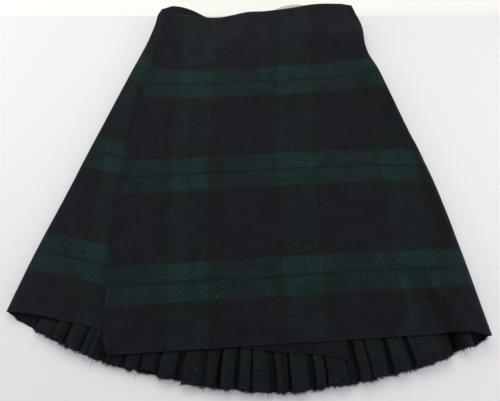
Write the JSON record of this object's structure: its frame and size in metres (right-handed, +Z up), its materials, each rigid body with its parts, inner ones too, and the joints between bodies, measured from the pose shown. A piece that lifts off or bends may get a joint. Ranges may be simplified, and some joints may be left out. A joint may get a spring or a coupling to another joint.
{
  "type": "scottish kilt",
  "caption": "Tartan kilt laid flat on its knife-pleated back: a crossed pair of aprons in front, pleat ends fanned out below their hems, and a lining edge at the waist.",
  "frame": {"origin": "on the surface the kilt lies on, under the middle of its laid-out outline", "axes": "+X across the kilt from the wearer's right to the wearer's left, +Y from the hem to the waist, +Z up, away from the surface"},
  "size_m": [0.6632, 0.6372, 0.0304],
  "materials": {
    "tartan_cloth": "matt worsted twill, dark blue, green and black tartan",
    "lining_cotton": "matt plain cotton, cream"
  },
  "bodies": {
    "root": {"over_apron": "tartan_cloth", "under_apron": "tartan_cloth", "pleated_back": "tartan_cloth", "waist_lining": "lining_cotton"}
  },
  "joints": []
}
